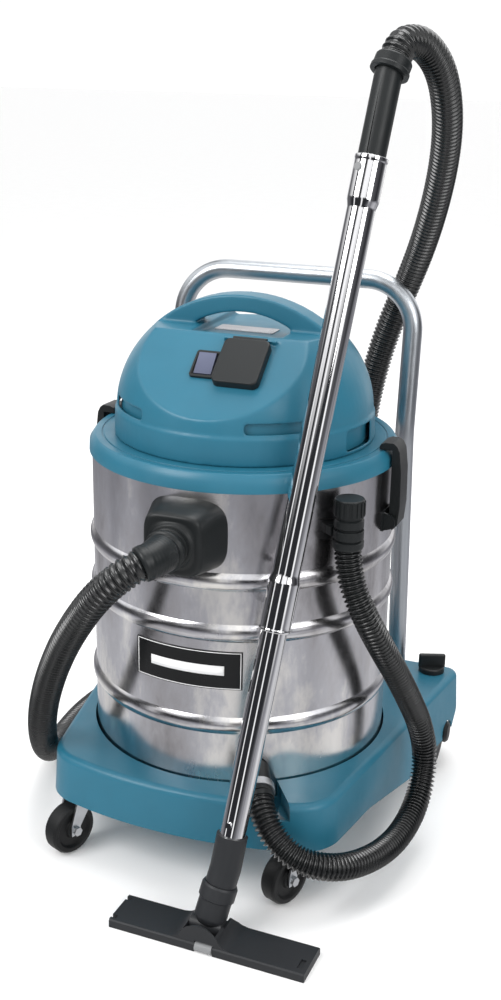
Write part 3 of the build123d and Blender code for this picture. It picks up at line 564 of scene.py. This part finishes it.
def soft_dome():
    """Rounds the head's moulded edges over several millimetres."""
    dome = nodes["dome"]
    even = dome.modifiers.new("even", "REMESH")
    even.mode = "VOXEL"
    even.voxel_size = 0.0018
    even.use_smooth_shade = True
    soft = dome.modifiers.new("soft", "SMOOTH")
    soft.factor = 0.5
    soft.iterations = 14


soft_dome()


# ---------------------------------------------------------------- studio
FLOOR_HALF = 40  # metres
WHITE, DARK, BLACK = (1.15, 1.15, 1.16), (0.12, 0.12, 0.13), (0.025, 0.026, 0.03)
# light and dark round the room, in shares of a turn: as seen looking up, then looking level
UPPER_BANDS = [
    (0.00, WHITE), (0.050, WHITE), (0.065, BLACK), (0.105, DARK), (0.125, WHITE), (0.195, WHITE),
    (0.205, BLACK), (0.235, BLACK), (0.250, WHITE), (0.345, WHITE), (0.355, DARK), (0.395, BLACK),
    (0.410, WHITE), (0.520, WHITE), (0.535, BLACK), (0.60, DARK), (0.62, WHITE), (0.84, WHITE),
    (0.855, DARK), (0.900, DARK), (0.92, WHITE),
]
LEVEL_BANDS = [
    (0.00, DARK), (0.060, BLACK), (0.108, BLACK), (0.116, WHITE), (0.128, WHITE), (0.136, BLACK),
    (0.255, BLACK), (0.265, WHITE), (0.280, WHITE), (0.290, BLACK), (0.400, BLACK), (0.412, WHITE),
    (0.435, WHITE), (0.447, DARK), (0.56, BLACK), (0.62, DARK), (0.70, WHITE), (0.86, WHITE),
    (0.93, DARK),
]
# the floor as reflections see it, from the horizon (0) to well below it (1)
GROUND_BANDS = [
    (0.0, (0.30, 0.30, 0.32)), (0.35, (0.30, 0.30, 0.325)), (0.46, (0.50, 0.50, 0.53)),
    (0.60, (0.80, 0.80, 0.82)), (1.0, (0.95, 0.94, 0.93)),
]
# name, place, aim, side in metres and power in watts
LAMPS = (
    ("key", (-1.6, -2.2, 2.6), (0, 0, 0.5), 1.6, 60),
    ("fill", (2.4, -1.6, 1.8), (0, 0, 0.5), 1.4, 22),
    ("top", (0.2, 0.6, 3.0), (0, 0, 0.6), 1.8, 36),
)


def make_studio():
    """White floor and surround; glossy rays see a banded room instead, with three soft lamps."""
    half = FLOOR_HALF
    corners = [(-half, -half, 0), (half, -half, 0), (half, half, 0), (-half, half, 0)]
    floor_mesh = mesh_from("floor", corners, [(0, 1, 2, 3)])
    floor = bpy.data.objects.new("floor", floor_mesh)
    bpy.context.scene.collection.objects.link(floor)
    floor_mesh.materials.append(plastic("floor_paint", (0.95, 0.95, 0.95), 0.75, 300, 0.0001, 0.01))
    floor.visible_glossy = False

    world = bpy.data.worlds.new("studio")
    bpy.context.scene.world = world
    world.use_nodes = True
    tree = world.node_tree
    tree.nodes.clear()
    out = tree.nodes.new("ShaderNodeOutputWorld")
    plain = tree.nodes.new("ShaderNodeBackground")
    plain.inputs["Color"].default_value = (1.0, 1.0, 1.0, 1)
    plain.inputs["Strength"].default_value = 1.05
    room = tree.nodes.new("ShaderNodeBackground")
    place = tree.nodes.new("ShaderNodeTexCoord")
    sweep = tree.nodes.new("ShaderNodeTexGradient")
    sweep.gradient_type = "RADIAL"
    tree.links.new(place.outputs["Generated"], sweep.inputs["Vector"])
    parts = tree.nodes.new("ShaderNodeSeparateXYZ")
    tree.links.new(place.outputs["Generated"], parts.inputs[0])
    height = parts.outputs["Z"]
    upper = ramp(tree, sweep.outputs["Fac"], UPPER_BANDS)
    level = ramp(tree, sweep.outputs["Fac"], LEVEL_BANDS)
    ground = ramp(tree, remap(tree, height, 1, 0, -0.7, 0), GROUND_BANDS)
    spots = ramp(tree, noise(tree, 2.2, 4), [(0.36, (0.55, 0.55, 0.56)), (0.62, (1.0, 1.0, 1.0))])
    worn = mixed(tree, ground, spots, 1.0, "MULTIPLY")
    walls = mixed(tree, level, upper, remap(tree, height, 0, 1, 0.16, 0.34))
    around = mixed(tree, walls, worn, remap(tree, height, 0, 1, -0.12, -0.22))
    tree.links.new(around, room.inputs["Color"])
    room.inputs["Strength"].default_value = 1.0
    rays = tree.nodes.new("ShaderNodeLightPath")
    mix = tree.nodes.new("ShaderNodeMixShader")
    tree.links.new(rays.outputs["Is Glossy Ray"], mix.inputs["Fac"])
    tree.links.new(plain.outputs[0], mix.inputs[1])
    tree.links.new(room.outputs[0], mix.inputs[2])
    tree.links.new(mix.outputs[0], out.inputs[0])

    for name, place_at, aim, size, power in LAMPS:
        data = bpy.data.lights.new(name, "AREA")
        data.shape = "SQUARE"
        data.size = size
        data.energy = power
        lamp = bpy.data.objects.new(name, data)
        bpy.context.scene.collection.objects.link(lamp)
        lamp.location = place_at
        lamp.rotation_mode = "QUATERNION"
        lamp.rotation_quaternion = (Vector(aim) - Vector(place_at)).to_track_quat("-Z", "Y")
    bpy.context.scene.view_settings.view_transform = "Standard"


make_studio()
